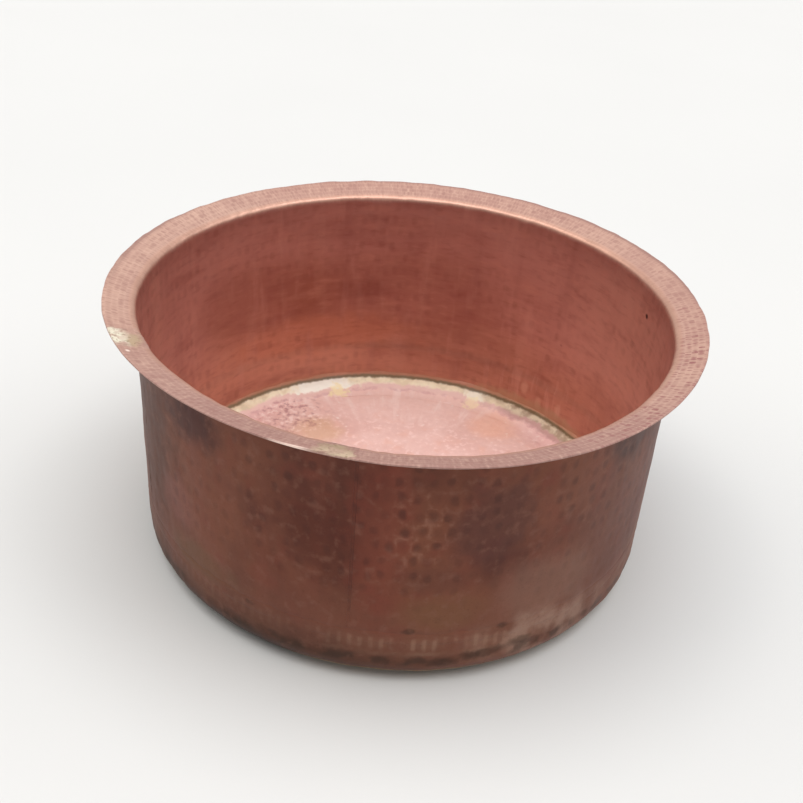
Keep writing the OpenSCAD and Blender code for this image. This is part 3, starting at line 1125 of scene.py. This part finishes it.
def add_sun(name, tilt, turn, spread, strength, colour=(1.0, 1.0, 1.0)):
    """A soft distant light. tilt is its angle from the zenith and turn its direction, in degrees."""
    lamp = bpy.data.lights.new(name, "SUN")
    lamp.angle = math.radians(spread)
    lamp.energy = strength
    lamp.color = colour
    holder = bpy.data.objects.new(name, lamp)
    a, b = math.radians(tilt), math.radians(turn)
    towards = Vector((math.sin(a) * math.cos(b), math.sin(a) * math.sin(b), math.cos(a)))
    holder.rotation_euler = towards.to_track_quat("Z", "Y").to_euler()
    bpy.context.scene.collection.objects.link(holder)


def add_backdrop():
    """Even light from all round, with a pale backdrop where the floor ends. The backdrop lights nothing."""
    world = bpy.data.worlds.new("studio")
    world.use_nodes = True
    nodes, links = world.node_tree.nodes, world.node_tree.links
    light = nodes["Background"]
    light.inputs["Color"].default_value = (1.0, 1.0, 1.0, 1)
    light.inputs["Strength"].default_value = 0.36
    backdrop = nodes.new("ShaderNodeBackground")
    backdrop.inputs["Color"].default_value = (0.95, 0.95, 0.94, 1)
    choice = nodes.new("ShaderNodeMixShader")
    links.new(nodes.new("ShaderNodeLightPath").outputs["Is Camera Ray"], choice.inputs["Fac"])
    links.new(light.outputs[0], choice.inputs[1])
    links.new(backdrop.outputs[0], choice.inputs[2])
    links.new(choice.outputs[0], nodes["World Output"].inputs["Surface"])
    bpy.context.scene.world = world


def add_lights():
    """Soft light from overhead, and weaker light from both sides, warmer on the left."""
    add_sun("overhead", 3, -90, 60, 2.1)
    add_sun("right", 43, 5, 50, 0.72)
    add_sun("left", 43, 175, 50, 0.75, (1.0, 0.94, 0.86))


def add_camera():
    """The camera, above the vessel's front, tilted down past the rim's middle and rolled a little."""
    distance = 844 * MM
    elevation = math.radians(26.67)
    tilt = math.radians(-5.66)
    roll = math.radians(-4.84)
    data = bpy.data.cameras.new("camera")
    data.sensor_width = 36
    data.lens = 49.8
    data.clip_end = 100
    forward = Vector((0, math.cos(elevation), -math.sin(elevation)))
    right = Vector((1, 0, 0))
    axes = Matrix((right, right.cross(forward), forward))
    axes = Matrix.Rotation(roll, 3, "Z") @ Matrix.Rotation(tilt, 3, "X") @ axes
    camera = bpy.data.objects.new("camera", data)
    camera.matrix_world = Matrix((axes[0], axes[1], -axes[2])).transposed().to_4x4()
    camera.location = Vector((0, 0, TOP_Z)) - distance * forward
    bpy.context.scene.collection.objects.link(camera)
    bpy.context.scene.camera = camera


# -------------------- scene
add_camera()
add_floor()
add_backdrop()
add_lights()
bpy.context.scene.view_settings.view_transform = "Standard"

wall_finishes = [inside_copper(), outside_copper()]
wall_spelter = [dark_spelter(), inner_spelter()]
front_mark = rim_spelter("front_spelter", FRONT_SEAM, (208, 184, 158), (176, 152, 126))
left_mark = rim_spelter("left_spelter", LEFT_SEAM, (240, 232, 210), (190, 164, 136))
pieces = [
    (build_long_sheet(wall_finishes), "long_wall_sheet", "wall_copper"),
    (build_short_sheet(wall_finishes), "short_wall_sheet", "wall_copper"),
    (build_front_seam([front_mark, *wall_spelter]), "front_seam_braze", "seam_spelter"),
    (build_left_seam([left_mark, *wall_spelter]), "left_seam_braze", "seam_spelter"),
    (build_pan([floor_copper(), wall_finishes[1]]), "base_pan", "base_copper"),
    (build_base_spelter([ring_spelter(), wall_spelter[0]]), "base_seam_braze", "base_spelter"),
]
for piece, node, slot in pieces:
    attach(piece, "root")
    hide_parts(node)
